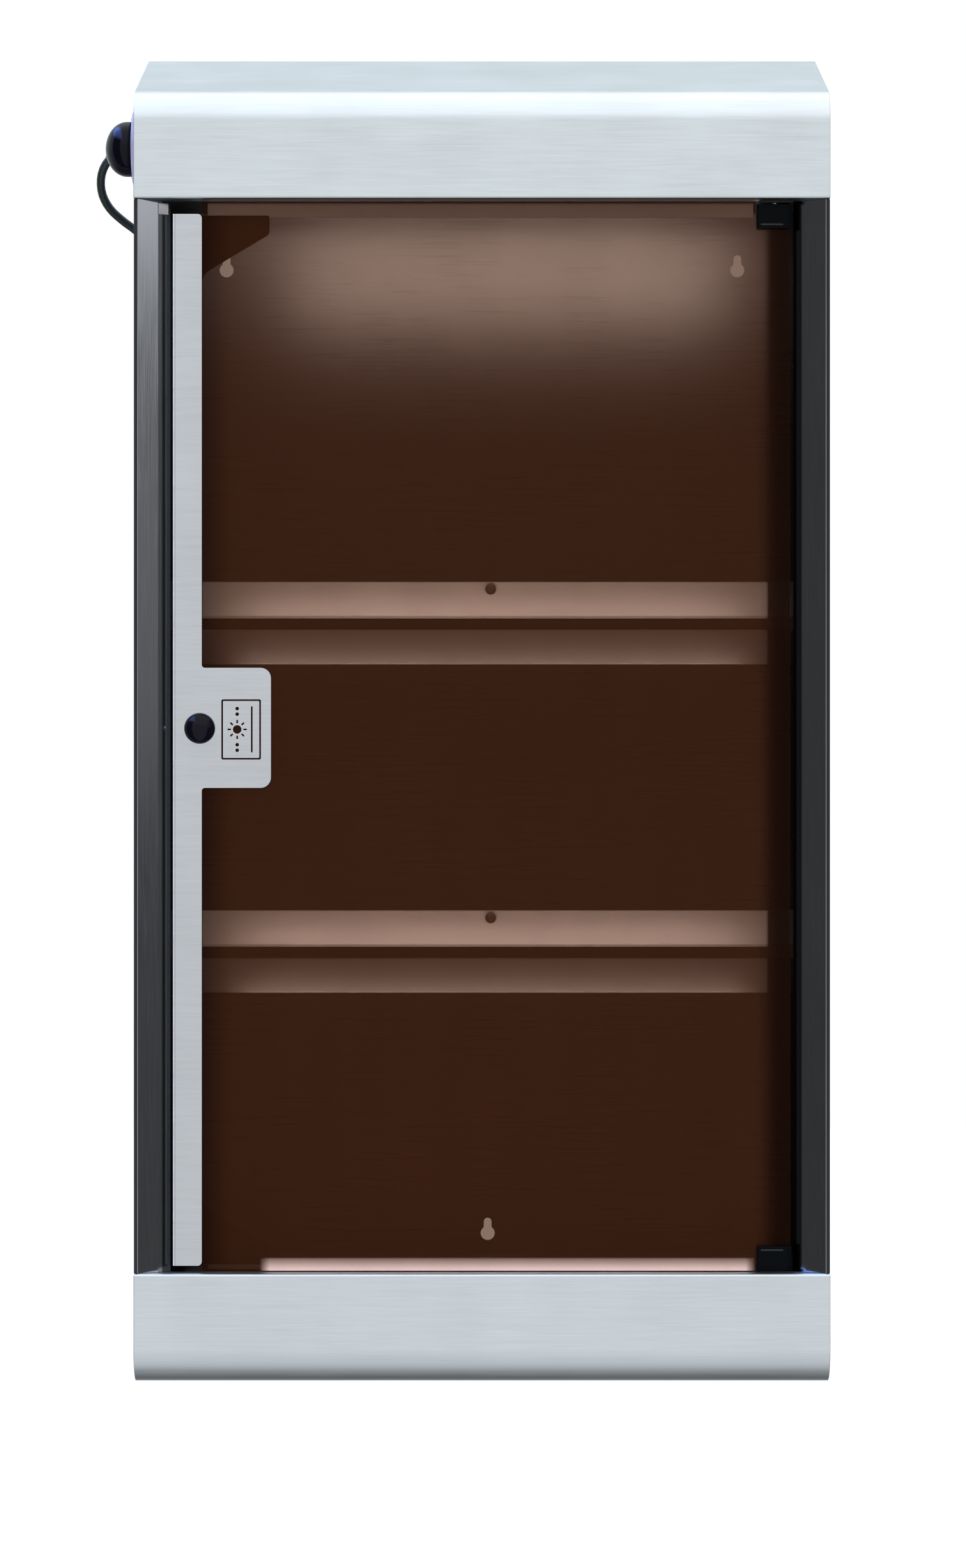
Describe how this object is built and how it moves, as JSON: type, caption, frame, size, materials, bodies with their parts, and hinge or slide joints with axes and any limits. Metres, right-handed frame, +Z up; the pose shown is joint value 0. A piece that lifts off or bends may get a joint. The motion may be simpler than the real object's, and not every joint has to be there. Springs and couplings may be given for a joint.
{
  "type": "ultraviolet tool sterilizer cabinet",
  "caption": "Tall shallow wall cabinet of brushed steel with a tinted hinged door, magnetic tool racks, a lamp and timer in its sloping hood, and a mains cord with plug.",
  "frame": {"origin": "centre of the flat underside of the base", "axes": "+Z up along the cabinet's height, -Y out of the door side, +X to the right of someone who faces the door"},
  "size_m": [0.5367, 0.264, 0.9734],
  "materials": {
    "stainless": "fine horizontal brushing, satin",
    "rack_steel": "fine horizontal brushing, satin",
    "bright_steel": "fine vertical brushing, bright",
    "tinted_pane": "bronze tinted acrylic, polished",
    "gloss_black": "polished moulded phenolic",
    "satin_black": "fine satin",
    "white_plastic": "smooth satin",
    "grey_plastic": "smooth satin",
    "lamp_glass": "clear quartz tube with pale glow",
    "galvanised": "zinc plated, satin",
    "ferrite": "matt dark ferrite",
    "cord_rubber": "smooth satin rubber",
    "wire_insulation": "smooth"
  },
  "bodies": {
    "cabinet": {"back_panel": "stainless", "side_panel_left": "stainless", "side_panel_right": "stainless", "hood_skin": "stainless", "hood_cheek_left": "stainless", "hood_cheek_right": "stainless", "base_skin": "stainless", "base_cheek_left": "stainless", "base_cheek_right": "stainless", "chamber_floor": "stainless", "door_stop_top": "stainless", "door_stop_bottom": "stainless", "rack_rail_upper": "rack_steel", "rack_rail_lower": "rack_steel", "rack_plate_upper": "rack_steel", "rack_plate_lower": "rack_steel", "rack_screw_upper": "bright_steel", "rack_screw_lower": "bright_steel", "hinge_pin_top": "bright_steel", "hinge_pin_bottom": "bright_steel", "lamp_reflector": "bright_steel", "timer_nut": "bright_steel", "interlock_switch": "satin_black", "cord_gland": "satin_black", "cord_tie": "satin_black", "timer_bezel": "white_plastic", "lamp_holder_left": "white_plastic", "lamp_holder_right": "white_plastic", "terminal_block": "white_plastic", "starter_socket": "white_plastic", "starter": "grey_plastic", "timer_body": "grey_plastic", "lamp_tube": "lamp_glass", "electrics_tray": "galvanised", "ballast": "galvanised", "hinge_bracket_top": "galvanised", "hinge_bracket_bottom": "galvanised", "catch_magnet_top": "ferrite", "catch_magnet_bottom": "ferrite", "rack_magnet_upper": "ferrite", "rack_magnet_lower": "ferrite", "cord_strain_relief": "cord_rubber", "mains_cord": "cord_rubber", "cord_coil": "cord_rubber", "cord_tail": "cord_rubber", "mains_plug": "cord_rubber", "wire_supply": "wire_insulation", "wire_lamp": "wire_insulation"},
    "door": {"door_glass": "tinted_pane", "door_handle_strip": "bright_steel", "door_striker_plate": "satin_black", "door_knob": "gloss_black", "door_knob_screw": "bright_steel", "hinge_clamp_top": "satin_black", "hinge_clamp_bottom": "satin_black", "hinge_grub_screw_top": "bright_steel", "hinge_grub_screw_bottom": "bright_steel"},
    "timer_dial": {"timer_knob": "gloss_black", "timer_shaft": "bright_steel"},
    "interlock_button": {"interlock_plunger": "bright_steel"}
  },
  "joints": [
    {"name": "door_swing", "type": "hinge", "parent": "cabinet", "child": "door", "pos_m": [0.211, -0.0593, 0.463], "axis": [0, 0, 1], "range_deg": [0, 105]},
    {"name": "timer_turn", "type": "hinge", "parent": "cabinet", "child": "timer_dial", "pos_m": [-0.265, -0.013, 0.895], "axis": [1, 0, 0], "range_deg": [0, 300]},
    {"name": "interlock_press", "type": "slide", "parent": "cabinet", "child": "interlock_button", "axis": [0, 1, 0], "range_m": [0, 0.002], "stiffness_N_per_m": 200}
  ]
}
